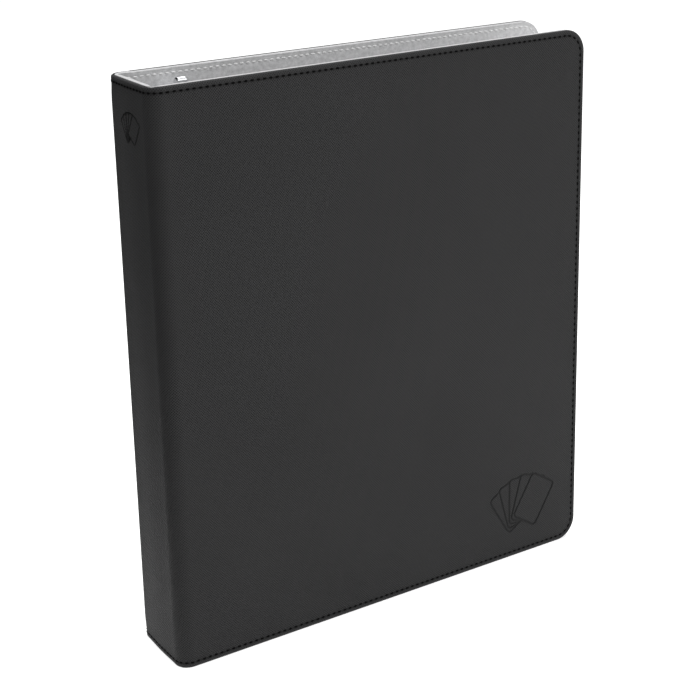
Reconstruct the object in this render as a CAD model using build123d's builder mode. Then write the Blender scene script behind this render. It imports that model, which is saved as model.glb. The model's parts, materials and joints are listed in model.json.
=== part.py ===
from build123d import *

# Trading card binder: a stitched, padded album cover with a three-ring D mechanism inside its back.
#
# Millimetres. +Z up, +X from the spine to the free edges, +Y from the front cover to the back.
# The origin is on the spine's bottom edge, midway across its width and its thickness. The binder
# stands on its bottom edges, closed and leaning over as one: the front cover leans inwards past
# square and the back cover outwards, by nearly the same angle.

import os
from math import cos, pi, radians, sin

os.makedirs("parts", exist_ok=True)

# ---- the cover as a whole ----
HEIGHT = 315.0  # bottom edge to top edge
WIDTH = 283.0  # spine's outer face to a cover's free edge
DEPTH = 53.8  # front outer face to back outer face, at the spine
CORNER_R = 13.2  # free corners of a cover
CREASE_R = 8.5  # outer radius where the spine turns into a cover
FRONT_REST = 6.0  # degrees that the front cover leans in past square
BACK_REST = 4.9  # degrees that the back cover leans out past square

# ---- layers of a panel, from the outside in ----
SKIN = 1.1
PADDING = 0.8
BOARD = 2.1
LINING = 0.8
THICKNESS = SKIN + PADDING + BOARD + LINING
SPLIT = SKIN + PADDING  # depth at which the skin and the lining meet on the edge
SKIN_WALL = 1.1  # skin where it turns over the edge
LINING_WALL = 0.8
SKIN_ROUND = 0.9
LINING_ROUND = 0.6

# ---- the seam round the edge ----
SEAM_INSET = 3.0
THREAD = 0.6
THREAD_SINK = 0.35
ON_PLANE = 0.01  # how near an edge is to a plane, or a crease, to count as on it

# ---- the ring mechanism: U along the cover, N off its lining, heights from mid-height ----
MECH_FROM_SPINE = 32.0  # spine's outer face to the mechanism's middle line
RING_PITCH = 108.0
RINGS = {"top": RING_PITCH, "middle": 0.0, "bottom": -RING_PITCH}
HOUSING_HALF_W = 13.0
HOUSING_HALF_L = 142.0
SHEET = 0.8
CROWN_N = 9.8  # top of the housing's arch
SHOULDER_N = 5.6  # where the arch meets the side walls
HEM_REACH = 1.6  # how far the folded rim stands in from the side wall
HEM_BOTTOM_N = 1.4
HEM_TOP_N = 3.8
HEM_LAP = 0.2  # how far the rim runs into the side wall it is folded from
HEM_ROUND = 0.5
SLOT_IN_U = 5.9  # ends of each slot that a ring comes through
SLOT_OUT_U = 11.6
SLOT_HALF_L = 2.5
SLOT_ROUND = 1.5
SLOT_BELOW = 0.6  # how far under the shoulder a slot starts
BLADE_T = 1.0
BLADE_PIVOT_U = 11.3
BLADE_PIVOT_N = 4.7
BLADE_GAP = 0.15  # from the middle line to each blade, when the pair is level
BLADE_HALF_L = 130.0
TOGGLE = 9.0  # degrees that a closed blade dips below level
WIRE_R = 1.9
RING_TOP_N = 29.5
FOOT_U = 8.5  # both feet of a ring, and the straight post above one of them
FOOT_BEND_N = 9.5
BOW_U = 13.6  # how far the bowed half stands out towards the spine
BOW_BEND_N = 15.5
POST_BEND_R = 9.5
BOW_RADII = [5.0, 8.0, 10.5]
TIP_U = -2.0  # where the two halves of a ring meet
TIP_GAP = 0.1
NIB_R = 0.8
NIB_L = 1.0
NIB_ROOM = 0.35
TENON_R = 1.2
TENON_BELOW = 0.4  # how far a ring's riveted end stands under the blade
TENON_LAP = 0.5  # how far the riveted end runs up into the wire
RIVET_Z = 80.0
RIVET_R = 1.6
RIVET_HEAD_R = 3.8
RIVET_HEAD_T = 1.3
RIVET_CROWN_R = 1.04
WASHER_R = 4.6
WASHER_T = 0.3
SPACER_R = 3.0
SPACER_ROOM = 0.8
SPACER_GAP = 0.25  # from a spacer's top to the sheet above it
PIN_R = 1.0
PIN_OUT = 0.6  # how far a lever's pin stands out of the housing
LEVER_PIVOT_Z = 135.0
LEVER_DIP = 12.6  # degrees that a closed lever's fork points below level
HUB_R = 2.1
HUB_HALF_W = 5.0
LEVER_T = 1.4
LEVER_HALF_W = 5.5
LEVER_TIP_HALF_W = 2.0
LEVER_TIP_ROUND = 1.2
LEVER_KNEE = (11.5, 1.6)  # the tongue's path from its pivot: outwards, off the lining
LEVER_TIP = (17.8, 10.4)
LEVER_BEAD_R = 2.0  # the tongue's end is rolled into a bead
LEVER_BEND_R = 9.0
FORK_HALF_W = 1.6
FORK_REACH = 8.0
FORK_START = 1.6
FORK_GAP = 1.1  # half the space between the fork's two fingers
FORK_FINGER = 0.8
PIN_FIT = 0.06  # running clearance round a pin
CUT_PAST = 1.0  # how far a cut runs past what it cuts

# ---- places worked out from those ----
MID_Z = HEIGHT / 2
SPINE_X = -THICKNESS / 2  # spine's outer face
HINGE_T = SKIN + LINING  # a crease has no board or padding in it
CREASE_MID_R = CREASE_R - HINGE_T / 2
PIVOT_IN = HINGE_T / 2 + CREASE_MID_R * (1 - pi / 4)  # keeps the crease's length as it turns
SPINE_W = DEPTH - 2 * CREASE_R
PANEL_L = WIDTH - CREASE_R
FRONT_PIVOT = Vector(SPINE_X + PIVOT_IN, -DEPTH / 2 + PIVOT_IN, 0)
BACK_PIVOT = Vector(SPINE_X + PIVOT_IN, DEPTH / 2 - PIVOT_IN, 0)


def turned(plane, pivot, degrees):
    """A plane turned about the upright axis through a pivot."""
    arm = (plane.origin - pivot).rotate(Axis.Z, degrees)
    x_dir = plane.x_dir.rotate(Axis.Z, degrees)
    z_dir = plane.z_dir.rotate(Axis.Z, degrees)
    return Plane(origin=pivot + arm, x_dir=x_dir, z_dir=z_dir)


def front_plane(depth=0.0):
    """Front cover: X from its crease to its free edge, Z inwards, depth mm below its face."""
    start = (SPINE_X + CREASE_R, -DEPTH / 2, MID_Z)
    square = Plane(origin=start, x_dir=(1, 0, 0), z_dir=(0, 1, 0))
    return turned(square, FRONT_PIVOT, FRONT_REST).offset(depth)


def back_plane(depth=0.0):
    """Back cover: X from its crease to its free edge, Z inwards, depth mm below its face."""
    start = (SPINE_X + CREASE_R, DEPTH / 2, MID_Z)
    square = Plane(origin=start, x_dir=(1, 0, 0), z_dir=(0, -1, 0))
    return turned(square, BACK_PIVOT, BACK_REST).offset(depth)


def spine_plane(depth=0.0):
    """Spine: X towards the back cover, Z inwards, depth mm below its face."""
    return Plane(origin=(SPINE_X, 0, MID_Z), x_dir=(0, 1, 0), z_dir=(1, 0, 0)).offset(depth)


def cover_outline(inset=0.0):
    """Draws a cover's closed outline, drawn in on its three free sides."""
    half = HEIGHT / 2 - inset
    end = PANEL_L - inset
    radius = CORNER_R - inset
    Line((0, -half), (0, half))
    Line((0, half), (end - radius, half))
    RadiusArc((end - radius, half), (end, half - radius), radius)
    Line((end, half - radius), (end, radius - half))
    RadiusArc((end, radius - half), (end - radius, -half), radius)
    Line((end - radius, -half), (0, -half))


def spine_outline(inset=0.0):
    """Draws the spine's closed outline, drawn in at its top and bottom."""
    half = HEIGHT / 2 - inset
    side = SPINE_W / 2
    Polyline((-side, -half), (side, -half), (side, half), (-side, half), close=True)


# each panel: its plane at a depth, its outline, and its sides that meet a crease
PANELS = {
    "front": (front_plane, cover_outline, [0.0]),
    "spine": (spine_plane, spine_outline, [-SPINE_W / 2, SPINE_W / 2]),
    "back": (back_plane, cover_outline, [0.0]),
}


def save(piece, node):
    """Labels a finished piece and writes it."""
    piece.part.label = node
    export_step(piece.part, f"parts/{node}.step")


def filled(plane, outline, inset=0.0):
    """A face of an outline, drawn in by an inset."""
    with BuildSketch(plane) as face:
        with BuildLine():
            outline(inset)
        make_face()
    return face.sketch


def strip(plane, outline, inset_out, inset_in):
    """The face between two insets of an outline."""
    with BuildSketch(plane) as face:
        with BuildLine():
            outline(inset_out)
        make_face()
        with BuildLine():
            outline(inset_in)
        make_face(mode=Mode.SUBTRACT)
    return face.sketch


def rim_edges(part, plane, creases):
    """Edges of a part that lie in a plane, apart from those along a crease."""
    kept = []
    for edge in part.edges():
        places = [plane.to_local_coords(edge.position_at(t)) for t in (0, 0.5, 1)]
        in_plane = all(abs(place.Z) < ON_PLANE for place in places)
        on_crease = any(abs(places[1].X - side) < ON_PLANE for side in creases)
        if in_plane and not on_crease:
            kept.append(edge)
    return kept


# ==== the cover: skin, padding, board, lining and seams of each panel ====
RIVET_PLACES = [(MECH_FROM_SPINE - CREASE_R, -RIVET_Z), (MECH_FROM_SPINE - CREASE_R, RIVET_Z)]
SEAM_SIDES = (SEAM_INSET - THREAD / 2, SEAM_INSET + THREAD / 2)

for name, (plane_at, outline, creases) in PANELS.items():
    with BuildPart() as outer_seam:
        extrude(strip(plane_at(), outline, *SEAM_SIDES), amount=THREAD_SINK)
    save(outer_seam, f"{name}_outer_seam")

    with BuildPart() as inner_seam:
        extrude(strip(plane_at(THICKNESS - THREAD_SINK), outline, *SEAM_SIDES), amount=THREAD_SINK)
    save(inner_seam, f"{name}_inner_seam")

    with BuildPart() as skin:
        extrude(filled(plane_at(), outline), amount=SKIN)
        extrude(strip(plane_at(SKIN), outline, 0, SKIN_WALL), amount=PADDING)
        fillet(rim_edges(skin.part, plane_at(), creases), SKIN_ROUND)
        add(outer_seam.part, mode=Mode.SUBTRACT)
    save(skin, f"{name}_skin")

    with BuildPart() as padding:
        extrude(filled(plane_at(SKIN), outline, SKIN_WALL), amount=PADDING)
    save(padding, f"{name}_padding")

    with BuildPart() as board:
        extrude(filled(plane_at(SPLIT), outline, LINING_WALL), amount=BOARD)
        if name == "back":
            with BuildSketch(plane_at(SPLIT)):
                with Locations(*RIVET_PLACES):
                    Circle(RIVET_R)
            extrude(amount=BOARD, mode=Mode.SUBTRACT)
            with BuildSketch(plane_at(SPLIT)):
                with Locations(*RIVET_PLACES):
                    Circle(WASHER_R)
            extrude(amount=WASHER_T, mode=Mode.SUBTRACT)
    save(board, f"{name}_board")

    with BuildPart() as lining:
        extrude(filled(plane_at(SPLIT + BOARD), outline), amount=LINING)
        extrude(strip(plane_at(SPLIT), outline, 0, LINING_WALL), amount=BOARD)
        fillet(rim_edges(lining.part, plane_at(THICKNESS), creases), LINING_ROUND)
        add(inner_seam.part, mode=Mode.SUBTRACT)
        if name == "back":
            with BuildSketch(plane_at(SPLIT + BOARD)):
                with Locations(*RIVET_PLACES):
                    Circle(RIVET_R)
            extrude(amount=LINING, mode=Mode.SUBTRACT)
    save(lining, f"{name}_lining")


# ==== the two creases: skin and lining carried round from the spine to a cover ====
def crease(cover_at, side, depth_out, depth_in):
    """A curved strip between two depths, from the spine's end to a cover's start."""
    with BuildPart() as bend:
        with BuildSketch(Plane.XY):
            with BuildLine():
                ends = []
                for depth in (depth_out, depth_in):
                    radius = CREASE_R - depth
                    start = Vector(SPINE_X + depth, side * SPINE_W / 2)
                    on_cover = cover_at(depth).origin
                    end = Vector(on_cover.X, on_cover.Y)
                    centre = Vector(SPINE_X + CREASE_R, side * SPINE_W / 2)
                    middle = centre + Vector(-sin(pi / 4), side * sin(pi / 4)) * radius
                    ThreePointArc(start, middle, end)
                    ends.append((start, end))
                Line(ends[0][0], ends[1][0])
                Line(ends[0][1], ends[1][1])
            make_face()
        extrude(amount=HEIGHT)
    return bend


CREASES = {"front_hinge": (front_plane, -1), "back_hinge": (back_plane, 1)}
for name, (cover_at, side) in CREASES.items():
    save(crease(cover_at, side, 0, SKIN), f"{name}_skin")
    save(crease(cover_at, side, SKIN, HINGE_T), f"{name}_lining")


# ==== the ring mechanism ====
ALONG = back_plane().x_dir  # U
OFF = back_plane().z_dir  # N
MECH_ORIGIN = back_plane(THICKNESS).origin + ALONG * (MECH_FROM_SPINE - CREASE_R)


def section(z=0.0):
    """Plane across the mechanism at a height: X is U and Y is N. Its Z points down."""
    return Plane(origin=MECH_ORIGIN + Vector(0, 0, z), x_dir=ALONG, z_dir=(0, 0, -1))


def seat(z, n=0.0, u=0.0):
    """Plane parallel to the lining, n off it. Its Z points off the lining."""
    return Plane(origin=MECH_ORIGIN + ALONG * u + OFF * n + Vector(0, 0, z), x_dir=ALONG, z_dir=OFF)


def lever_side(end, u=0.0):
    """Plane along a lever, from its pivot: X towards its tip, Y off the lining."""
    pivot = MECH_ORIGIN + OFF * BLADE_PIVOT_N + Vector(0, 0, end * LEVER_PIVOT_Z) + ALONG * u
    outwards = Vector(0, 0, end)
    return Plane(origin=pivot, x_dir=outwards, z_dir=outwards.cross(OFF))


def blade_level(side, off=0.0):
    """Plane of a closed blade, from its pivot: X towards the middle line, Z off the lining."""
    pivot = MECH_ORIGIN + ALONG * (side * BLADE_PIVOT_U) + OFF * BLADE_PIVOT_N
    inwards = ALONG * (-side * cos(radians(TOGGLE))) - OFF * sin(radians(TOGGLE))
    upwards = OFF * cos(radians(TOGGLE)) - ALONG * (side * sin(radians(TOGGLE)))
    return Plane(origin=pivot + upwards * off, x_dir=inwards, z_dir=upwards)


def arch(shrink):
    """Draws the outline of the housing's section, drawn in by a thickness."""
    side = HOUSING_HALF_W - shrink
    shoulder = SHOULDER_N - shrink / 2
    Line((-side, 0), (-side, shoulder))
    ThreePointArc((-side, shoulder), (0, CROWN_N - shrink), (side, shoulder))
    Line((side, shoulder), (side, 0))
    Line((side, 0), (-side, 0))


with BuildPart() as housing:
    with BuildSketch(section()):
        with BuildLine():
            arch(0)
        make_face()
        with BuildLine():
            arch(SHEET)
        make_face(mode=Mode.SUBTRACT)
    extrude(amount=HOUSING_HALF_L, both=True)
    # folded rims that the blades' outer edges rock on
    with BuildSketch(section()):
        hem_u = HOUSING_HALF_W - SHEET - (HEM_REACH - HEM_LAP) / 2
        hem_n = (HEM_BOTTOM_N + HEM_TOP_N) / 2
        with Locations((-hem_u, hem_n), (hem_u, hem_n)):
            RectangleRounded(HEM_REACH + HEM_LAP, HEM_TOP_N - HEM_BOTTOM_N, HEM_ROUND)
    extrude(amount=BLADE_HALF_L, both=True)
    for z in RINGS.values():
        with BuildSketch(seat(z, SHOULDER_N - SLOT_BELOW)):
            middle_u = (SLOT_IN_U + SLOT_OUT_U) / 2
            with Locations((-middle_u, 0), (middle_u, 0)):
                RectangleRounded(SLOT_OUT_U - SLOT_IN_U, 2 * SLOT_HALF_L, SLOT_ROUND)
        extrude(amount=CROWN_N, mode=Mode.SUBTRACT)
    for z in (-RIVET_Z, RIVET_Z):
        with BuildSketch(seat(z, SHOULDER_N)):
            Circle(RIVET_R)
        extrude(amount=CROWN_N, mode=Mode.SUBTRACT)
    for end in (-1, 1):
        with BuildSketch(lever_side(end)):
            Circle(PIN_R)
        extrude(amount=2 * HOUSING_HALF_W, both=True, mode=Mode.SUBTRACT)
save(housing, "ring_housing")

with BuildPart() as spacers:
    for z in (-RIVET_Z, RIVET_Z):
        with BuildSketch(seat(z)):
            Circle(SPACER_R)
            Circle(RIVET_R, mode=Mode.SUBTRACT)
        extrude(amount=CROWN_N - SHEET - SPACER_GAP)
save(spacers, "rivet_spacers")

with BuildPart() as rivets:
    for z in (-RIVET_Z, RIVET_Z):
        with BuildSketch(seat(z, -LINING - BOARD)):
            Circle(RIVET_R)
        extrude(amount=LINING + BOARD + CROWN_N)
        with BuildSketch(seat(z, CROWN_N)):
            Circle(RIVET_HEAD_R)
        extrude(amount=RIVET_HEAD_T)
    heads = [e for e in rivets.edges().filter_by(GeomType.CIRCLE) if e.radius > RIVET_R + CUT_PAST]
    tops = [e for e in heads if (e.arc_center - MECH_ORIGIN).dot(OFF) > CROWN_N + RIVET_HEAD_T / 2]
    fillet(tops, RIVET_CROWN_R)
save(rivets, "mounting_rivets")

with BuildPart() as washers:
    for z in (-RIVET_Z, RIVET_Z):
        with BuildSketch(seat(z, -LINING - BOARD)):
            Circle(WASHER_R)
            Circle(RIVET_R, mode=Mode.SUBTRACT)
        extrude(amount=WASHER_T)
save(washers, "rivet_washers")

with BuildPart() as pins:
    for end in (-1, 1):
        with BuildSketch(lever_side(end)):
            Circle(PIN_R)
        extrude(amount=HOUSING_HALF_W + PIN_OUT, both=True)
save(pins, "lever_pins")

# ---- blades: one on each side, rocking on the rims and meeting at the middle line ----
BLADE_W = BLADE_PIVOT_U - BLADE_GAP
TENON_AT = (BLADE_PIVOT_U - FOOT_U) / cos(radians(TOGGLE))  # from a blade's pivot to a ring's foot
for side, name in ((-1, "left_blade"), (1, "right_blade")):
    with BuildPart() as blade:
        with BuildSketch(blade_level(side, -BLADE_T / 2)):
            with Locations((BLADE_W / 2, 0)):
                Rectangle(BLADE_W, 2 * BLADE_HALF_L)
        extrude(amount=BLADE_T)
        for z in (-RIVET_Z, RIVET_Z):
            with BuildSketch(seat(z)):
                Circle(SPACER_R + SPACER_ROOM)
            extrude(amount=CROWN_N, mode=Mode.SUBTRACT)
        for z in RINGS.values():
            foot = blade_level(side, -BLADE_T)
            foot.origin = foot.origin + foot.x_dir * TENON_AT + Vector(0, 0, z)
            with BuildSketch(foot):
                Circle(TENON_R)
            extrude(amount=2 * BLADE_T, mode=Mode.SUBTRACT)
    save(blade, name)


# ---- rings: a straight post on one blade and a bow on the other ----
def ring_half(side, z):
    """One half of a ring, riveted through its blade. Side +1 is the post and -1 the bow."""
    foot = (side * FOOT_U, 0)
    if side > 0:
        corners = [foot, (FOOT_U, RING_TOP_N), (TIP_U + TIP_GAP / 2, RING_TOP_N)]
        radii = [POST_BEND_R]
    else:
        corners = [foot, (-FOOT_U, FOOT_BEND_N), (-BOW_U, BOW_BEND_N), (-BOW_U, RING_TOP_N)]
        corners.append((TIP_U - TIP_GAP / 2, RING_TOP_N))
        radii = BOW_RADII
    with BuildPart() as half:
        with BuildLine(section(z)) as path:
            FilletPolyline(*corners, radius=radii)
        with BuildSketch(Plane(origin=path.line @ 0, z_dir=path.line % 0)):
            Circle(WIRE_R)
        sweep(path=path.line)
        split(bisect_by=blade_level(side, BLADE_T / 2), keep=Keep.TOP)
        tenon = blade_level(side, -BLADE_T / 2 - TENON_BELOW)
        tenon.origin = tenon.origin + tenon.x_dir * TENON_AT + Vector(0, 0, z)
        with BuildSketch(tenon):
            Circle(TENON_R)
        extrude(amount=BLADE_T + TENON_BELOW + TENON_LAP)
        # a nib on the bow's tip goes into a socket in the post's tip
        tip = Plane(origin=path.line @ 1, z_dir=ALONG)
        with BuildSketch(tip):
            Circle(NIB_R if side < 0 else NIB_R + NIB_ROOM)
        if side < 0:
            extrude(amount=NIB_L)
        else:
            extrude(amount=NIB_L + NIB_ROOM, mode=Mode.SUBTRACT)
    return half


for place, z in RINGS.items():
    save(ring_half(1, z), f"{place}_ring_post")
    save(ring_half(-1, z), f"{place}_ring_bow")


# ---- levers: a tongue to press at each end, and a fork that carries the blades' meeting edges ----
def lever(end):
    """A lever on its pin, closed."""
    level = lever_side(end)
    plan = Plane(origin=level.origin, x_dir=level.x_dir, z_dir=OFF)
    dip = radians(LEVER_DIP)
    inwards = level.x_dir * -cos(dip) - OFF * sin(dip)
    fork = Plane(origin=level.origin, x_dir=inwards, z_dir=level.z_dir * -1)
    with BuildPart() as piece:
        with BuildSketch(level):
            with BuildLine():
                FilletPolyline((0, 0), LEVER_KNEE, LEVER_TIP, radius=LEVER_BEND_R)
                offset(amount=LEVER_T / 2)
            make_face()
            with Locations(LEVER_TIP):
                Circle(LEVER_BEAD_R)
        extrude(amount=LEVER_HALF_W, both=True)
        # the tongue narrows from its knee to its tip
        with BuildSketch(plan) as tongue:
            knee, tip = LEVER_KNEE[0], LEVER_TIP[0] + LEVER_BEAD_R
            with BuildLine():
                Polyline(
                    (-LEVER_T, -LEVER_HALF_W),
                    (knee, -LEVER_HALF_W),
                    (tip, -LEVER_TIP_HALF_W),
                    (tip, LEVER_TIP_HALF_W),
                    (knee, LEVER_HALF_W),
                    (-LEVER_T, LEVER_HALF_W),
                    close=True,
                )
            make_face()
            fillet(tongue.vertices().sort_by(Axis.X)[-2:], LEVER_TIP_ROUND)
        extrude(amount=2 * LEVER_TIP[1], both=True, mode=Mode.INTERSECT)
        with BuildSketch(level):
            Circle(HUB_R)
        extrude(amount=HUB_HALF_W, both=True)
        with BuildSketch(fork):
            finger_n = FORK_GAP + FORK_FINGER / 2
            finger_x = (FORK_START + FORK_REACH) / 2
            with Locations((finger_x, finger_n), (finger_x, -finger_n)):
                Rectangle(FORK_REACH - FORK_START, FORK_FINGER)
        extrude(amount=FORK_HALF_W, both=True)
        with BuildSketch(level):
            Circle(PIN_R + PIN_FIT)
        extrude(amount=LEVER_HALF_W + CUT_PAST, both=True, mode=Mode.SUBTRACT)
    return piece


save(lever(1), "top_lever")
save(lever(-1), "bottom_lever")
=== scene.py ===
# Trading card binder: the looks. Shapes are worked out in millimetres, in the frame of the CAD model,
# and turned into metres when a mesh is made.

import json
import math

import bpy
import numpy as np
from mathutils import Matrix, Vector


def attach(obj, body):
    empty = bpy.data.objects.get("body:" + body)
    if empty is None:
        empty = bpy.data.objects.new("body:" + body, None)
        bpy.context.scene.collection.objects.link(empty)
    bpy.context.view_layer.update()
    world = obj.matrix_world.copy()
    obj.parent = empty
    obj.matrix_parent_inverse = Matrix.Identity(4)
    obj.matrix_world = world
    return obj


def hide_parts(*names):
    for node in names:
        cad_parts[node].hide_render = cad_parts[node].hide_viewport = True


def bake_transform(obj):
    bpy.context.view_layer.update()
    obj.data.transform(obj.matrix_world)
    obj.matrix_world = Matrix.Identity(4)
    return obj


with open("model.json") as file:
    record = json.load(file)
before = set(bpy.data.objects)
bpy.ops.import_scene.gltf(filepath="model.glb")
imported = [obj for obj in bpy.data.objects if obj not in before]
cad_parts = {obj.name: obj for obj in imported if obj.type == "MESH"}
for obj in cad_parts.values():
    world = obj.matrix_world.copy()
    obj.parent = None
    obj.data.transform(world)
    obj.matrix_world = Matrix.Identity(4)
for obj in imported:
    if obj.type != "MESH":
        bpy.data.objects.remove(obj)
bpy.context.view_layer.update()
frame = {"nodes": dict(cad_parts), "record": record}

MM = 0.001

# ---- the cover ----
HEIGHT = 315.0
WIDTH = 283.0
DEPTH = 53.8
CORNER_R = 13.2
CREASE_R = 8.5
FRONT_LEAN = math.radians(6.0)
BACK_SPLAY = math.radians(4.9)
THICKNESS = 4.8
SPLIT = 1.9  # depth at which skin and lining meet on the edge
HINGE_T = 1.9
SKIN_ROUND = 0.9
LINING_ROUND = 0.6
SPINE_X = -THICKNESS / 2
PIVOT_IN = HINGE_T / 2 + (CREASE_R - HINGE_T / 2) * (1 - math.pi / 4)
PANEL_L = WIDTH - CREASE_R
SPINE_W = DEPTH - 2 * CREASE_R
ARC_L = CREASE_R * math.pi / 2

# ---- the seam ----
SEAM = 3.0  # from the edge
PER_STITCH = 6  # points along the edge for each stitch
STITCHES_TOP = 70  # along a cover's top or bottom, up to its rounded corner
STITCHES_CORNER = 4
STITCHES_SIDE = 77
STITCHES_SPINE = 10
STITCHES_ARC = 4
LAP = 1  # stitches of flat panel, each side, that belong to the crease's piece
GROOVE = 0.16
HOLE = 0.40
INNER_PRESS = 0.45  # share of the groove and holes that the lining's side gets
CROWN = 0.35  # how far the padding lifts the skin inside the seam
CROWN_IN = 3.3  # where the lift begins, from the edge
CROWN_RAMP = 9.0  # and how wide it is
GROOVE_HALF_W = 0.5
HOLE_HALF_W = 0.38
HEM_IN = 1.8  # middle of the slight swelling between the seam and the edge
HEM_HALF_W = 0.6
HEM_RISE = 0.08
SHADE_HALF_W = 0.8  # how far the seam's shading reaches each side of it
EDGE_SHADE_W = 1.6  # and the edge's, inwards

# ---- marks pressed into the skin: a fan of blank cards ----
EMBLEM_IN = 43.5  # middle, from the free edge
EMBLEM_UP = 33.5
CARD = (20.0, 29.0)
CARD_CORNER = 2.6
FAN_R = 17.6  # from the fan's turning point to the middle of a card
FAN_TILTS = [math.radians(a) for a in (-32, -16, 0, 16, 32)]
FAN_RISE = 2.9  # puts the middle of the fan's box at the mark's place
LINE = 0.55  # half the width of a pressed line
LINE_FLAT = 0.5  # share of it that is pressed to the full depth
LINE_SLOPE = 0.8  # and over which the depth runs out
LEAST_LINE_SCALE = 0.7  # a small mark's lines get no thinner than this
SPINE_MARK_DOWN = 23.6
SPINE_MARK_ASIDE = -3.2
SPINE_MARK_SCALE = 0.45
MARK_HALF_H = 9.3
MARK_STEP = 0.3
EMBLEM_HALF_S = 28.0  # room for the cover's mark, each side of its middle
EMBLEM_HALF_UP = 19.0
PATCH_SPLIT = 12  # parts each side of a grid cell is cut into where a mark is
PRESS = 0.45

# ---- thickness of the cloths, and the foam under the skin ----
CLOTH = 0.5
SHARP_ANGLE = math.radians(55)
FOAM_IN = 4.4  # from the cover's edge, just inside the seam
FOAM_CLEAR = 0.5  # between a pad and the crease beside it
FOAM_EDGE = 1.6
FOAM_EDGE_STEPS = [0.0, 0.15, 0.5, 1.0, FOAM_EDGE]
FOAM_FLAT_IN = 6  # where the even grid inside the rounded rim begins
FOAM_ACROSS = 24
FOAM_TALL = 40
SPINE_CROWN = 0.4  # how far the foam rounds the spine out, across it

TOP_PITCH = (PANEL_L - CORNER_R) / STITCHES_TOP


# ==== where a point of each panel lies: along the panel, up, and in from its face ====
def swung(pivot, angle, point):
    """A plan point turned about an upright axis."""
    x, y = point[0] - pivot[0], point[1] - pivot[1]
    c, s = math.cos(angle), math.sin(angle)
    return np.array([pivot[0] + c * x - s * y, pivot[1] + s * x + c * y])


class Cover:
    """A cover's frame. side is -1 for the front and +1 for the back."""

    def __init__(self, side, angle):
        pivot = (SPINE_X + PIVOT_IN, side * (DEPTH / 2 - PIVOT_IN))
        start = (SPINE_X + CREASE_R, side * DEPTH / 2)
        self.side = side
        self.start = swung(pivot, angle, start)
        self.along = np.array([math.cos(angle), math.sin(angle)])
        self.inward = -side * np.array([-math.sin(angle), math.cos(angle)])

    def place(self, s, up, depth):
        plan = self.start + np.outer(s, self.along) + np.outer(depth, self.inward)
        return np.column_stack([plan, up])


FRONT = Cover(-1, FRONT_LEAN)
BACK = Cover(1, BACK_SPLAY)


def spine_crown(from_middle):
    """How far the spine stands out over its foam, at a distance from its middle line."""
    share = np.clip(np.abs(from_middle) / (SPINE_W / 2), 0, 1)
    return SPINE_CROWN * (1 - share**2) ** 2


def place_spine(s, up, depth):
    """s runs from the middle of the spine towards the back cover."""
    return np.column_stack([SPINE_X + depth, s, up])


def place_crease(cover):
    """Maps a crease's piece: s is 0 where the bend starts on the spine, and grows towards the cover."""
    centre = np.array([SPINE_X + CREASE_R, cover.side * SPINE_W / 2])
    cover_normal = -cover.inward
    end_angle = math.atan2(cover_normal[1] * cover.side, -cover_normal[0])

    def place(s, up, depth):
        s = np.asarray(s, float)
        part = np.clip(s / ARC_L, 0, 1)
        angle = part * end_angle
        out = np.column_stack([-np.cos(angle), cover.side * np.sin(angle)])
        plan = centre + out * (CREASE_R - depth)[:, None]
        # carry the end of the bend onto the cover's real start
        shift = cover.start - (centre + CREASE_R * cover_normal)
        plan = plan + np.outer(part * part * (3 - 2 * part), shift)
        before = np.minimum(s, 0)
        after = np.maximum(s - ARC_L, 0)
        plan = plan + np.column_stack([np.zeros_like(s), cover.side * before])
        plan = plan + np.outer(after, cover.along)
        return np.column_stack([plan, up])

    return place


# ==== profiles across the edge: (in from the edge, depth), from the seam on the rim to the flat ====
def rounded(radius, steps=4):
    """A quarter round from the rim to the face, as (inset, depth)."""
    turn = [math.pi / 2 * k / steps for k in range(steps + 1)]
    return [(radius * (1 - math.cos(a)), radius * (1 - math.sin(a))) for a in turn]


FINE_INSETS = [1.4, 1.9, 2.3, 2.6, 2.8, 3.0, 3.2, 3.4, 3.8, 4.4]
SKIN_RIM = [(0.0, SPLIT), (0.0, 1.4)] + rounded(SKIN_ROUND)
LINING_RIM = [(0.0, SPLIT), (0.0, 3.0)] + [(i, THICKNESS - d) for i, d in rounded(LINING_ROUND)]
LINING_SHORT = 0.2  # how far the back cover's lining stops below its skin's edge
SHORT_RIM = [(inset + LINING_SHORT, depth) for inset, depth in LINING_RIM]
COARSER = [(5.4, 2), (9.0, 6)]  # insets at which the points along the edge thin out, and by how much


def smooth(x):
    x = np.clip(x, 0, 1)
    return x * x * (3 - 2 * x)


def hump(x, middle, half_w):
    """1 at the middle, dying away smoothly on both sides."""
    return np.exp(-(((x - middle) / half_w) ** 2))


def relief(inset, along):
    """How far the surface goes in at the seam, and the share of the padding's lift, at each point."""
    groove = hump(inset, SEAM, GROOVE_HALF_W)
    hole = hump(inset, SEAM, HOLE_HALF_W) * np.maximum(np.cos(2 * np.pi * along), 0) ** 4
    hem = HEM_RISE * hump(inset, HEM_IN, HEM_HALF_W)
    crown = smooth((inset - CROWN_IN) / CROWN_RAMP)
    return GROOVE * groove + (HOLE - GROOVE * 0.5) * hole - hem, crown


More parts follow.
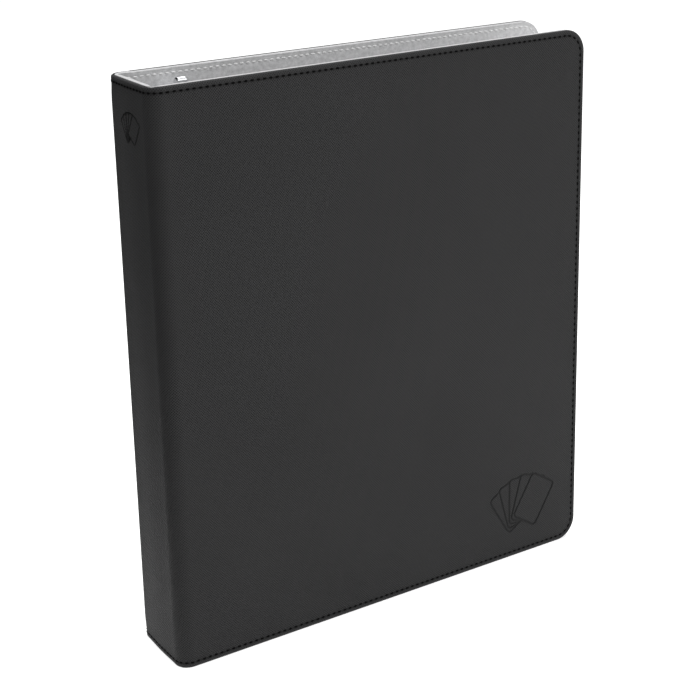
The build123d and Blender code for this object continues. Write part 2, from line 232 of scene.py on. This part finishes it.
def card_fan(x, y, scale=1.0):
    """Depth share of a fan of blank cards, each lying over the one before it. 1 is the middle of a line."""
    share = np.zeros_like(x)
    half_w, half_h, corner = CARD[0] / 2 * scale, CARD[1] / 2 * scale, CARD_CORNER * scale
    line = LINE * max(scale, LEAST_LINE_SCALE)
    for tilt in FAN_TILTS:
        c, s = math.cos(tilt), math.sin(tilt)
        px = x - FAN_R * s * scale
        py = y - (FAN_R * (c - 1) + FAN_RISE) * scale
        qx = np.abs(c * px - s * py) - half_w + corner
        qy = np.abs(s * px + c * py) - half_h + corner
        away = np.hypot(np.maximum(qx, 0), np.maximum(qy, 0)) + np.minimum(np.maximum(qx, qy), 0) - corner
        drawn = smooth(1 - (np.abs(away) - line * LINE_FLAT) / (line * LINE_SLOPE))
        share = np.where(away < 0, drawn, np.maximum(share, drawn))
    return share


# ==== meshes ====
class Builder:
    """Gathers points, each stored once, and faces."""

    def __init__(self):
        self.index = {}
        self.points = []
        self.faces = []

    def point(self, s, up, depth, inset, along):
        key = (round(s, 4), round(up, 4), round(depth, 4))
        if key not in self.index:
            self.index[key] = len(self.points)
            self.points.append((s, up, depth, inset, along))
        return self.index[key]

    def face(self, corners):
        kept = [c for i, c in enumerate(corners) if c != corners[i - 1]]
        if len(kept) > 2:
            self.faces.append(kept)

    def band(self, outer, outer_n, inner, inner_n):
        """Joins two rows of points whose counts differ by a whole factor."""
        factor = outer_n // inner_n
        for k in range(len(inner) - 1):
            side = [outer[factor * k + i] for i in range(factor + 1)]
            self.face(side + [inner[k + 1], inner[k]])


def cover_row(build, start, inset, depth, per):
    """A row of points round a cover's three free sides, from bottom crease to top crease.

    start is the number of stitches left to the crease's piece, and per the points for each stitch.
    """
    end = PANEL_L - CORNER_R
    radius = CORNER_R - inset
    stretches = [
        (STITCHES_TOP - start, lambda t: (end + (t - 1) * (end - start * TOP_PITCH), inset)),
        (STITCHES_CORNER, lambda t: (end + radius * math.sin(t * math.pi / 2),
                                     CORNER_R - radius * math.cos(t * math.pi / 2))),
        (STITCHES_SIDE, lambda t: (PANEL_L - inset, CORNER_R + t * (HEIGHT - 2 * CORNER_R))),
        (STITCHES_CORNER, lambda t: (end + radius * math.cos(t * math.pi / 2),
                                     HEIGHT - CORNER_R + radius * math.sin(t * math.pi / 2))),
        (STITCHES_TOP - start, lambda t: (end - t * (end - start * TOP_PITCH), HEIGHT - inset)),
    ]
    row, done = [], 0
    for stitches, at in stretches:
        for k in range(stitches * per + (1 if stretches[-1][1] is at else 0)):
            s, up = at(k / (stitches * per))
            row.append(build.point(s, up, depth, inset, done + k / per))
        done += stitches
    return row


def cover_sheet(rim, flat_depth, start, patch=None):
    """A cover's skin or lining. patch is a block of grid cells (low s, high s, low up, high up) made fine."""
    build = Builder()
    rows = [(i, d, PER_STITCH) for i, d in rim] + [(i, flat_depth, PER_STITCH) for i in FINE_INSETS]
    for inset, factor in COARSER:
        per = PER_STITCH // factor
        rows.append((inset, flat_depth, per))
    rows.append((CORNER_R, flat_depth, per))
    last, last_n = None, 0
    for inset, depth, count in rows:
        row = cover_row(build, start, inset, depth, count)
        if last:
            build.band(last, last_n, row, count)
        last, last_n = row, count
    grid_s = np.linspace(start * TOP_PITCH, PANEL_L - CORNER_R, STITCHES_TOP - start + 1)
    grid_up = np.linspace(CORNER_R, HEIGHT - CORNER_R, STITCHES_SIDE + 1)

    def in_patch(i, j):
        return bool(patch) and patch[0] <= i < patch[1] and patch[2] <= j < patch[3]

    def at(i, j):
        low_i, low_j = min(int(i), len(grid_s) - 2), min(int(j), len(grid_up) - 2)
        s = grid_s[low_i] + (i - low_i) * (grid_s[1] - grid_s[0])
        up = grid_up[low_j] + (j - low_j) * (grid_up[1] - grid_up[0])
        inset = min(up, HEIGHT - up, PANEL_L - s)
        return build.point(s, up, flat_depth, inset, 0.5)

    for i in range(len(grid_s) - 1):
        for j in range(len(grid_up) - 1):
            if in_patch(i, j):
                for a in range(PATCH_SPLIT):
                    for b in range(PATCH_SPLIT):
                        low = (i + a / PATCH_SPLIT, j + b / PATCH_SPLIT)
                        high = (i + (a + 1) / PATCH_SPLIT, j + (b + 1) / PATCH_SPLIT)
                        build.face([at(low[0], low[1]), at(high[0], low[1]),
                                    at(high[0], high[1]), at(low[0], high[1])])
                continue
            corners = [(i, j), (i + 1, j), (i + 1, j + 1), (i, j + 1)]
            beyond = [(i, j - 1), (i + 1, j), (i, j + 1), (i - 1, j)]
            ring = []
            for k in range(4):
                a, b = corners[k], corners[(k + 1) % 4]
                cuts = PATCH_SPLIT if in_patch(*beyond[k]) else 1
                ring += [at(a[0] + (b[0] - a[0]) * c / cuts, a[1] + (b[1] - a[1]) * c / cuts)
                         for c in range(cuts)]
            build.face(ring)
    return build


def upright_sheet(rim, flat_depth, low, high, stitches, per, fine_rows=()):
    """The spine's or a crease's skin or lining: free edges at the top and bottom only."""
    build = Builder()
    edge = rim + [(i, flat_depth) for i in FINE_INSETS]
    edge += [(i, flat_depth) for i, _ in COARSER] + [(CORNER_R, flat_depth)]
    middle = np.linspace(CORNER_R, HEIGHT - CORNER_R, STITCHES_SIDE + 1)[1:-1]
    if len(fine_rows):
        middle = middle[(middle < fine_rows[0] - MARK_STEP) | (middle > fine_rows[-1] + MARK_STEP)]
    levels = [(inset, inset, depth) for inset, depth in edge]
    levels += [(up, min(up, HEIGHT - up), flat_depth) for up in sorted(set(middle) | set(fine_rows))]
    levels += [(HEIGHT - inset, inset, depth) for inset, depth in reversed(edge)]
    count = stitches * per
    last = None
    for up, inset, depth in levels:
        row = [build.point(low + (high - low) * k / count, up, depth, inset, k / per)
               for k in range(count + 1)]
        if last:
            build.band(last, per, row, per)
        last = row
    return build


def in_scene(name, data):
    """A new object of the scene."""
    made = bpy.data.objects.new(name, data)
    bpy.context.scene.collection.objects.link(made)
    return made


def as_object(name, points, faces, finish, unrolled=None, **shares):
    """A smooth mesh object from points in millimetres. Its unrolled place becomes its UVs, in metres."""
    mesh = bpy.data.meshes.new(name)
    mesh.from_pydata((points * MM).tolist(), [], faces)
    if unrolled is not None:
        layer = mesh.uv_layers.new(name="unrolled")
        loops = np.zeros(len(mesh.loops), np.int32)
        mesh.loops.foreach_get("vertex_index", loops)
        layer.data.foreach_set("uv", (unrolled[loops] * MM).astype(np.float32).ravel())
    for key, values in shares.items():
        mesh.attributes.new(key, "FLOAT", "POINT").data.foreach_set("value", values.astype(np.float32))
    mesh.polygons.foreach_set("use_smooth", [True] * len(mesh.polygons))
    mesh.materials.append(finish)
    return in_scene(name, mesh)


def thicken(piece):
    """Gives a sheet its thickness, inwards, and leaves a plain mesh."""
    solid = piece.modifiers.new("thickness", "SOLIDIFY")
    solid.thickness = CLOTH * MM
    solid.offset = -1.0
    graph = bpy.context.evaluated_depsgraph_get()
    mesh = bpy.data.meshes.new_from_object(piece.evaluated_get(graph))
    piece.modifiers.clear()
    piece.data = mesh
    mesh.name = piece.name
    mesh.set_sharp_from_angle(angle=SHARP_ANGLE)


def cloth(name, build, place, outer, finish, unroll, mark=None, sink=None):
    """A skin (outer) or a lining from gathered points.

    unroll gives a point's place along the unrolled cover, mark the share of the full depth a mark is
    pressed to there, and sink how far the face is moved towards the cover's outside.
    """
    s, up, depth, inset, along = np.array(build.points).T
    pressed, crown = relief(inset, along)
    groove = hump(inset, SEAM, SHADE_HALF_W)
    edge = hump(inset, 0.0, EDGE_SHADE_W)
    drawn = mark(s, up) if mark else np.zeros_like(s)
    if outer:
        depth = depth + pressed - CROWN * crown + PRESS * drawn
    else:
        depth = depth - INNER_PRESS * pressed
    if sink:
        depth = depth - sink(s)
    points = place(s, up, depth)
    unrolled = np.column_stack([unroll(s), up])
    piece = as_object(name, points, build.faces, finish, unrolled, groove=groove, edge=edge, drawn=drawn)
    mesh = piece.data
    # a point near the middle of the flat tells which way the faces look
    middle = int(np.argmin(np.abs(up - HEIGHT / 2) + 0.5 * np.abs(s - np.median(s))))
    at = s[middle : middle + 1], up[middle : middle + 1]
    inward = (place(*at, np.ones(1)) - place(*at, np.zeros(1)))[0]
    if (np.array(mesh.vertices[middle].normal) @ inward > 0) == outer:
        mesh.flip_normals()
    thicken(piece)
    return piece


def foam(name, place, low, high, rise, finish):
    """The crowned foam pad between a panel's board and its skin, closed all round."""

    def steps(length, inside):
        return np.array(FOAM_EDGE_STEPS + list(inside) + [length - e for e in reversed(FOAM_EDGE_STEPS)])

    tall = HEIGHT - 2 * FOAM_IN
    across = steps(high - low, np.linspace(low + FOAM_FLAT_IN, high - FOAM_FLAT_IN, FOAM_ACROSS) - low)
    upright = steps(tall, np.linspace(FOAM_FLAT_IN, tall - FOAM_FLAT_IN, FOAM_TALL))
    s, up = [g.ravel() for g in np.meshgrid(across, upright)]
    inset = np.minimum.reduce([s, high - low - s, up, tall - up])
    bulge = np.sqrt(np.clip(1 - (1 - np.clip(inset / FOAM_EDGE, 0, 1)) ** 2, 0, 1))
    s, up = s + low, up + FOAM_IN
    _, crown = relief(np.minimum(up, HEIGHT - up), np.full_like(s, 0.5))
    top = CLOTH - CROWN * crown - rise(s)
    middle = (CLOTH + SPLIT) / 2
    upper = place(s, up, middle + (top - middle) * bulge)
    lower = place(s, up, middle + (SPLIT - middle) * bulge)
    columns, rows, count = len(across), len(upright), len(s)
    rim = inset < 1e-9
    index = np.where(rim, np.arange(count), count + np.cumsum(~rim) - 1)
    faces = []
    for j in range(rows - 1):
        for i in range(columns - 1):
            a = j * columns + i
            quad = [a, a + 1, a + 1 + columns, a + columns]
            faces.append(quad)
            faces.append([int(index[q]) for q in reversed(quad)])
    return as_object(name, np.vstack([upper, lower[~rim]]), faces, finish)


# ==== stitches: one short, plump thread for each ====
STITCH_RINGS = 9
STITCH_SIDES = 10
STITCH_SPAN = {True: (0.20, 0.80), False: (0.10, 0.90)}  # shares of the pitch, outside and inside
STITCH_TAPER = 0.06  # share of a half wave left off at each end of a stitch's girth
LEAST_GIRTH = 0.25
THREAD_HALF_W = 0.55
THREAD_HALF_T = 0.32
STITCH_SINK = 0.1  # how far a stitch's ends lie below the groove's floor
STITCH_RISE = 0.30  # how far its middle rises above its ends


def stitches(name, runs, outer, finish):
    """Each run is (place, needle holes as (s, up), how far the face is moved outwards at s)."""
    points, faces = [], []
    face_depth, way = (0.0, 1.0) if outer else (THICKNESS, -1.0)
    part = np.linspace(0, 1, STITCH_RINGS)
    begins, ends = STITCH_SPAN[outer]
    share = begins + (ends - begins) * part
    girth = np.sin(np.pi * (STITCH_TAPER + (1 - 2 * STITCH_TAPER) * part)) ** 0.5
    girth = np.clip(girth, LEAST_GIRTH, 1)
    turn = 2 * np.pi * np.arange(STITCH_SIDES) / STITCH_SIDES
    for place, holes, sink in runs:
        for (s0, up0), (s1, up1) in zip(holes[:-1], holes[1:]):
            s, up = s0 + (s1 - s0) * share, up0 + (up1 - up0) * share
            depth = face_depth + way * (GROOVE + STITCH_SINK - STITCH_RISE * np.sin(np.pi * part)) - sink(s)
            middle = place(s, up, depth)
            out = place(s, up, depth - way) - middle
            out /= np.linalg.norm(out, axis=1)[:, None]
            ahead = np.gradient(middle, axis=0)
            ahead /= np.linalg.norm(ahead, axis=1)[:, None]
            side = np.cross(ahead, out)
            base = len(points)
            for k in range(STITCH_RINGS):
                ring = np.outer(THREAD_HALF_W * np.cos(turn), side[k])
                ring += np.outer(THREAD_HALF_T * np.sin(turn), out[k])
                points.extend(middle[k] + girth[k] * ring)
            last = base + (STITCH_RINGS - 1) * STITCH_SIDES
            for k in range(STITCH_RINGS - 1):
                for q in range(STITCH_SIDES):
                    a = base + k * STITCH_SIDES + q
                    b = base + k * STITCH_SIDES + (q + 1) % STITCH_SIDES
                    faces.append([a, b, b + STITCH_SIDES, a + STITCH_SIDES])
            faces.append([base + q for q in reversed(range(STITCH_SIDES))])
            faces.append([last + q for q in range(STITCH_SIDES)])
    return as_object(name, np.array(points), faces, finish)


def cover_holes(start):
    """Needle holes round a cover."""
    build = Builder()
    row = cover_row(build, start, SEAM, 0.0, 1)
    return [build.points[i][:2] for i in row]


def upright_holes(low, high, count, up):
    return [(low + (high - low) * k / count, up) for k in range(count + 1)]


# ==== materials ====
def material(name, colour, roughness, metallic=0.0, specular=0.5):
    made = bpy.data.materials.new(name)
    made.use_nodes = True
    shader = made.node_tree.nodes["Principled BSDF"]
    shader.inputs["Base Color"].default_value = (*colour, 1)
    shader.inputs["Roughness"].default_value = roughness
    shader.inputs["Metallic"].default_value = metallic
    shader.inputs["Specular IOR Level"].default_value = specular
    return made, shader


class Nodes:
    """Short calls for wiring a material."""

    def __init__(self, made):
        self.tree = made.node_tree

    def add(self, kind, **values):
        node = self.tree.nodes.new(kind)
        for key, value in values.items():
            setattr(node, key, value)
        return node

    def link(self, a, b):
        self.tree.links.new(a, b)

    def maths(self, operation, a, b=None):
        node = self.add("ShaderNodeMath", operation=operation)
        for socket, value in zip(node.inputs, (a, b)):
            if value is None:
                continue
            if isinstance(value, (int, float)):
                socket.default_value = value
            else:
                self.link(value, socket)
        return node.outputs[0]

    def share(self, name):
        """A share stored with the mesh's points."""
        return self.add("ShaderNodeAttribute", attribute_name=name).outputs["Fac"]

    def unrolled(self):
        return self.add("ShaderNodeUVMap", uv_map="unrolled").outputs[0]

    def place(self):
        return self.add("ShaderNodeTexCoord").outputs["Object"]

    def dimmed(self, value, share, loss):
        """value, less a share of itself where the named share is 1."""
        left = self.maths("SUBTRACT", 1.0, self.maths("MULTIPLY", self.share(share), loss))
        return self.maths("MULTIPLY", value, left)

    def noise(self, vector, scale, detail=3.0):
        node = self.add("ShaderNodeTexNoise")
        node.inputs["Scale"].default_value = scale
        node.inputs["Detail"].default_value = detail
        self.link(vector, node.inputs["Vector"])
        return node.outputs["Fac"]

    def spread(self, value, low, high):
        node = self.add("ShaderNodeMapRange")
        node.inputs["To Min"].default_value = low
        node.inputs["To Max"].default_value = high
        self.link(value, node.inputs["Value"])
        return node.outputs["Result"]

    def grey(self, value, tint=(1.0, 1.0, 1.0)):
        node = self.add("ShaderNodeCombineColor")
        for socket, share in zip(node.inputs, tint):
            self.link(self.maths("MULTIPLY", value, share), socket)
        return node.outputs[0]

    def bump(self, height, distance, strength, shader):
        node = self.add("ShaderNodeBump")
        node.inputs["Distance"].default_value = distance
        node.inputs["Strength"].default_value = strength
        self.link(height, node.inputs["Height"])
        self.link(node.outputs[0], shader.inputs["Normal"])


# depths of relief here are in metres, and the noise scales are per metre
HATCH_PITCH = 1.05 * MM
HATCH_SECOND = 0.9  # strength of the crossing lines against the first
HATCH_PAINTED_LIGHT = (0.6, 1.05)  # painted shade and light of the hatch, darker in its pressed lines and lighter on its ridges: brightness at its middle level, and its swing
LEAST_LIT = 0.05
HATCH_DEPTH = 0.00014
GRAIN_SCALE = 2600.0
GRAIN_IN_BUMP = 0.35
BLOTCH_SCALE = 12.0
SKIN_TONES = (0.0134, 0.0198)  # the range of the blotches
SKIN_ROUGHNESS = (0.6, 0.66)
DRAWN_TONE_AND_SHADE = 0.6  # brightness lost in a pressed mark: partly the heat-pressed skin's own darker tone, partly painted shade in its lines
# painted shade: brightness taken off the skin along the seam's groove
GROOVE_PAINTED_SHADE = 0.1
EDGE_GAIN = 0.006
EDGE_GLOSS = 0.05  # roughness lost on the edge
DRAWN_GLOSS = 0.1

FIBRE_SCALE = 1500.0
FIBRE_TONES = (-0.08, 0.12)
FIBRE_DEPTH = 0.00012
CLOUD_SCALE = 420.0
CLOUD_TONES = (0.36, 0.82)
# painted shade on the lining's rim, which faces the top light
RIM_PAINTED_SHADE = 0.27


def skin_material():
    made, shader = material("embossed_skin", (0.014, 0.014, 0.0145), 0.62, specular=0.2)
    n = Nodes(made)
    uv = n.unrolled()
    parts = n.add("ShaderNodeSeparateXYZ")
    n.link(uv, parts.inputs[0])
    x, y = parts.outputs[0], parts.outputs[1]
    turn = 2 * math.pi / HATCH_PITCH / math.sqrt(2)
    one = n.maths("SINE", n.maths("MULTIPLY", n.maths("ADD", x, y), turn))
    two = n.maths("SINE", n.maths("MULTIPLY", n.maths("SUBTRACT", x, y), turn))
    pressed = n.maths("MAXIMUM", n.share("groove"), n.share("drawn"))
    clear = n.maths("SUBTRACT", 1.0, pressed)
    crossed = n.maths("MAXIMUM", one, n.maths("MULTIPLY", two, HATCH_SECOND))
    weave = n.maths("MULTIPLY", crossed, clear)
    grain = n.noise(uv, GRAIN_SCALE)
    blotch = n.noise(uv, BLOTCH_SCALE)
    edge = n.share("edge")
    n.bump(n.maths("ADD", weave, n.maths("MULTIPLY", grain, GRAIN_IN_BUMP)), HATCH_DEPTH, 1.0, shader)
    # painted shade and light: the hatch's relief is also painted into the colour, darker in its lines and
    # lighter on its ridges
    lit = n.maths("ADD", HATCH_PAINTED_LIGHT[0], n.maths("MULTIPLY", weave, HATCH_PAINTED_LIGHT[1]))
    value = n.maths("MULTIPLY", n.spread(blotch, *SKIN_TONES), n.maths("MAXIMUM", lit, LEAST_LIT))
    # darker in a pressed mark: the heat-pressed skin's own tone, and painted shade in its lines
    value = n.dimmed(value, "drawn", DRAWN_TONE_AND_SHADE)
    # painted shade along the seam's groove
    value = n.dimmed(value, "groove", GROOVE_PAINTED_SHADE)
    value = n.maths("ADD", value, n.maths("MULTIPLY", edge, EDGE_GAIN))
    n.link(n.grey(value, (1.0, 1.0, 1.03)), shader.inputs["Base Color"])
    gloss = n.maths("ADD", n.maths("MULTIPLY", edge, EDGE_GLOSS),
                    n.maths("MULTIPLY", n.share("drawn"), DRAWN_GLOSS))
    n.link(n.maths("SUBTRACT", n.spread(grain, *SKIN_ROUGHNESS), gloss), shader.inputs["Roughness"])
    return made


def lining_material():
    made, shader = material("microfibre_lining", (0.44, 0.44, 0.445), 0.92, specular=0.2)
    n = Nodes(made)
    uv = n.unrolled()
    fibre = n.noise(uv, FIBRE_SCALE, 6.0)
    cloud = n.noise(uv, CLOUD_SCALE, 4.0)
    value = n.maths("ADD", n.spread(cloud, *CLOUD_TONES), n.spread(fibre, *FIBRE_TONES))
    # painted shade: the cloth turned over the rim, which faces the top light, is painted a shade darker than
    # the flat
    value = n.dimmed(value, "edge", RIM_PAINTED_SHADE)
    n.link(n.grey(value, (1.0, 1.0, 1.01)), shader.inputs["Base Color"])
    shader.inputs["Sheen Weight"].default_value = 0.3
    shader.inputs["Sheen Roughness"].default_value = 0.5
    n.bump(fibre, FIBRE_DEPTH, 0.6, shader)
    return made


def thread_material(name, low, high, specular):
    made, shader = material(name, (low, low, low), 0.8, specular=specular)
    n = Nodes(made)
    twist = n.noise(n.place(), 2200.0)
    n.link(n.grey(n.spread(twist, low, high)), shader.inputs["Base Color"])
    n.bump(twist, 0.00008, 0.7, shader)
    return made


def metal_material(name, colour, low, high, grain):
    made, shader = material(name, colour, low, metallic=1.0)
    n = Nodes(made)
    mark = n.noise(n.place(), grain)
    n.link(n.spread(mark, low, high), shader.inputs["Roughness"])
    n.bump(mark, 0.00001, 0.3, shader)
    return made


def core_material(name, colour, grain):
    made, shader = material(name, colour, 0.9, specular=0.2)
    n = Nodes(made)
    fleck = n.noise(n.place(), grain)
    tone = n.spread(fleck, colour[0] * 0.8, colour[0] * 1.2)
    n.link(n.grey(tone, (1, 0.95, 0.86)), shader.inputs["Base Color"])
    return made


SKIN = skin_material()
LINING = lining_material()
THREAD_OUT = thread_material("dark_thread", 0.001, 0.004, 0.04)
THREAD_IN = thread_material("light_thread", 0.6, 0.8, 0.25)
CHROME = metal_material("chrome_plating", (0.86, 0.87, 0.89), 0.06, 0.14, 900.0)
NICKEL = metal_material("satin_nickel", (0.42, 0.425, 0.44), 0.3, 0.42, 1100.0)
STEEL = metal_material("plain_steel", (0.56, 0.57, 0.58), 0.28, 0.4, 1400.0)
FOAM = core_material("foam", (0.25, 0.25, 0.26), 900.0)
GREYBOARD = core_material("greyboard", (0.22, 0.2, 0.17), 700.0)


# ==== the cover's pieces ====
def emblem(s, up):
    return card_fan(s - (PANEL_L - EMBLEM_IN), up - EMBLEM_UP)


def spine_mark(s, up):
    return card_fan(SPINE_MARK_ASIDE - s, up - (HEIGHT - SPINE_MARK_DOWN), SPINE_MARK_SCALE)


def block_round(middle_s, middle_up, half_s, half_up, start):
    """Grid cells of a cover round a place."""
    pitch_up = (HEIGHT - 2 * CORNER_R) / STITCHES_SIDE
    low_i = int((middle_s - half_s) / TOP_PITCH) - start
    high_i = int(math.ceil((middle_s + half_s) / TOP_PITCH)) - start
    low_j = max(int((middle_up - half_up - CORNER_R) / pitch_up), 0)
    high_j = int(math.ceil((middle_up + half_up - CORNER_R) / pitch_up))
    return low_i, high_i, low_j, high_j


LAYERS = (("skin", SKIN_RIM, 0.0, True, SKIN), ("lining", LINING_RIM, THICKNESS, False, LINING))
THREADS = (("outer", True, THREAD_OUT), ("inner", False, THREAD_IN))
EMBLEM_BLOCK = block_round(PANEL_L - EMBLEM_IN, EMBLEM_UP, EMBLEM_HALF_S, EMBLEM_HALF_UP, LAP)

for name, cover in (("front", FRONT), ("back", BACK)):
    body = f"{name}_cover"
    for layer, rim, flat, outer, finish in LAYERS:
        marked = name == "front" and outer
        if name == "back" and not outer:
            rim = SHORT_RIM
        sheet = cover_sheet(rim, flat, LAP, EMBLEM_BLOCK if marked else None)
        piece = cloth(f"{body}_{layer}", sheet, cover.place, outer, finish,
                      lambda s, side=cover.side: side * (s + SPINE_W / 2 + ARC_L), emblem if marked else None)
        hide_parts(f"{name}_{layer}")
        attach(piece, body)
    pad = foam(f"{body}_foam", cover.place, FOAM_CLEAR, PANEL_L - FOAM_IN, np.zeros_like, FOAM)
    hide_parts(f"{name}_padding")
    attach(pad, body)
    for where, outer, thread in THREADS:
        runs = [(cover.place, cover_holes(LAP), np.zeros_like)]
        row = stitches(f"{body}_{where}_stitches", runs, outer, thread)
        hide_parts(f"{name}_{where}_seam")
        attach(row, body)

# spine, between the two creases' pieces
SPINE_PITCH = SPINE_W / STITCHES_SPINE
SPINE_HALF = SPINE_W / 2 - LAP * SPINE_PITCH
SPINE_COLUMNS = STITCHES_SPINE - 2 * LAP
mark_low = HEIGHT - SPINE_MARK_DOWN - MARK_HALF_H
mark_rows = [mark_low + MARK_STEP * k for k in range(int(2 * MARK_HALF_H / MARK_STEP) + 1)]
for layer, rim, flat, outer, finish in LAYERS:
    sheet = upright_sheet(rim, flat, -SPINE_HALF, SPINE_HALF, SPINE_COLUMNS, 2 * PER_STITCH,
                          mark_rows if outer else ())
    piece = cloth(f"spine_cover_{layer}", sheet, place_spine, outer, finish, lambda s: s,
                  spine_mark if outer else None, spine_crown if outer else None)
    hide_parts(f"spine_{layer}")
    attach(piece, "spine")
pad = foam("spine_cover_foam", place_spine, -SPINE_W / 2 + FOAM_CLEAR, SPINE_W / 2 - FOAM_CLEAR,
           spine_crown, FOAM)
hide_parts("spine_padding")
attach(pad, "spine")
for where, outer, thread in THREADS:
    runs = [(place_spine, upright_holes(-SPINE_HALF, SPINE_HALF, SPINE_COLUMNS, up),
             spine_crown if outer else np.zeros_like) for up in (SEAM, HEIGHT - SEAM)]
    row = stitches(f"spine_cover_{where}_stitches", runs, outer, thread)
    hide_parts(f"spine_{where}_seam")
    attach(row, "spine")

# creases, which bend between the spine and a cover
CREASE_LOW = -LAP * SPINE_PITCH
CREASE_HIGH = ARC_L + LAP * TOP_PITCH
VALLEY = 1.5  # how far the lining sinks into a crease
VALLEY_REACH = 0.62  # share of the bend, each side of its middle, over which it sinks


def crease_crown(s):
    """The spine's crown, carried on to where the bend starts."""
    return np.where(s < 0, spine_crown(SPINE_W / 2 + s), 0)


def valley(s):
    """The lining's dip towards the skin in the bend, as a change of depth."""
    return VALLEY * smooth(1 - np.abs(s - ARC_L / 2) / (ARC_L * VALLEY_REACH))


def crease_holes(up):
    low = upright_holes(CREASE_LOW, 0.0, LAP, up)
    bend = upright_holes(0.0, ARC_L, STITCHES_ARC, up)
    high = upright_holes(ARC_L, CREASE_HIGH, LAP, up)
    return low[:-1] + bend + high[1:]


for name, cover in (("front", FRONT), ("back", BACK)):
    place = place_crease(cover)
    for layer, rim, flat, outer, finish in LAYERS:
        sheet = upright_sheet(rim, flat, CREASE_LOW, CREASE_HIGH, STITCHES_ARC + 2 * LAP, PER_STITCH)
        piece = cloth(f"{name}_crease_{layer}", sheet, place, outer, finish,
                      lambda s, side=cover.side: side * (s + SPINE_W / 2), None,
                      crease_crown if outer else valley)
        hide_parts(f"{name}_hinge_{layer}")
        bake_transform(piece)
    for where, outer, thread in THREADS:
        runs = [(place, crease_holes(up), crease_crown if outer else valley) for up in (SEAM, HEIGHT - SEAM)]
        row = stitches(f"{name}_crease_{where}_stitches", runs, outer, thread)
        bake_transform(row)


# ==== CAD nodes that are shown as they are ====
FINISHES = {"board": GREYBOARD, "chrome": CHROME, "steel": STEEL}
for entry in frame["record"]["subparts"]:
    finish = NICKEL if entry["node"] == "ring_housing" else FINISHES.get(entry["material_slot"])
    node = frame["nodes"][entry["node"]]
    if finish and not node.hide_render:
        node.data.materials.clear()
        node.data.materials.append(finish)


# ==== floor, light and camera ====
def card(name, corners, finish):
    """A flat, four-cornered piece of the studio."""
    mesh = bpy.data.meshes.new(name)
    mesh.from_pydata(corners, [], [(0, 1, 2, 3)])
    mesh.materials.append(finish)
    piece = in_scene(name, mesh)
    return piece


def level_corners(low_x, high_x, low_y, high_y, height):
    plan = [(low_x, low_y), (high_x, low_y), (high_x, high_y), (low_x, high_y)]
    return [(x, y, height) for x, y in plan]


FLOOR = 6.0  # half its side
FLOOR_GLOW = 0.55
AMBIENT = 0.5
floor_finish, floor_shader = material("pale_floor", (0.9, 0.9, 0.9), 0.9, specular=0.1)
floor_shader.inputs["Emission Color"].default_value = (1, 1, 1, 1)
floor_shader.inputs["Emission Strength"].default_value = FLOOR_GLOW
card("floor", level_corners(-FLOOR, FLOOR, -FLOOR, FLOOR, 0), floor_finish)

# black cards on the left, which only reflections see, keep the spine darker than the front
black, _ = material("black_card", (0.02, 0.02, 0.02), 0.9, specular=0.0)
FLAG_X = -0.095  # the low card's edge nearest the spine
FLAG_FROM, FLAG_TO = -0.9, 2.5
TALL_FLAG_FROM = (-0.6, FLAG_FROM)
TALL_FLAG_TO = (-0.3, FLAG_TO)
TALL_FLAG_H = 0.8
for name, corners in (
    ("low_flag", level_corners(-2, FLAG_X, FLAG_FROM, FLAG_TO, 0.003)),
    ("tall_flag", [(*TALL_FLAG_FROM, 0), (*TALL_FLAG_TO, 0),
                   (*TALL_FLAG_TO, TALL_FLAG_H), (*TALL_FLAG_FROM, TALL_FLAG_H)]),
):
    flag = card(name, corners, black)
    flag.visible_camera = flag.visible_diffuse = flag.visible_shadow = flag.visible_transmission = False

world = bpy.data.worlds.new("studio")
world.use_nodes = True
world.node_tree.nodes["Background"].inputs["Color"].default_value = (1, 1, 1, 1)
world.node_tree.nodes["Background"].inputs["Strength"].default_value = AMBIENT
bpy.context.scene.world = world


MIDDLE = Vector((0.13, 0.0, 0.16))  # where both lights point


def softbox(name, place, size, power):
    """A square light. size is its side in metres, and power is in watts."""
    light = bpy.data.lights.new(name, "AREA")
    light.size = size
    light.energy = power
    lamp = in_scene(name, light)
    lamp.location = place
    lamp.rotation_euler = (MIDDLE - Vector(place)).to_track_quat("-Z", "Y").to_euler()


softbox("top", (0.15, 0.1, 1.9), 1.6, 34.0)
softbox("right", (1.6, -1.3, 0.9), 1.2, 8.0)

# the camera stands low in front and to the left, rolled a little
YAW, PITCH, ROLL = 0.5096, 0.3269, 0.0220
STAND = Vector((SPINE_X - 327.79, -806.65, 465.31)) * MM
LENS = 90.43
SENSOR_W = 36.0
forward = Vector((math.sin(YAW) * math.cos(PITCH), math.cos(YAW) * math.cos(PITCH), -math.sin(PITCH)))
level = Vector((math.cos(YAW), -math.sin(YAW), 0))
down = forward.cross(level)
right = level * math.cos(ROLL) + down * math.sin(ROLL)
down = -level * math.sin(ROLL) + down * math.cos(ROLL)
lens = bpy.data.cameras.new("camera")
lens.lens = LENS
lens.sensor_width = SENSOR_W
lens.clip_end = 50.0
camera = in_scene("camera", lens)
camera.matrix_world = Matrix.Translation(STAND) @ Matrix((right, -down, -forward)).transposed().to_4x4()
bpy.context.scene.camera = camera
bpy.context.scene.view_settings.view_transform = "Standard"
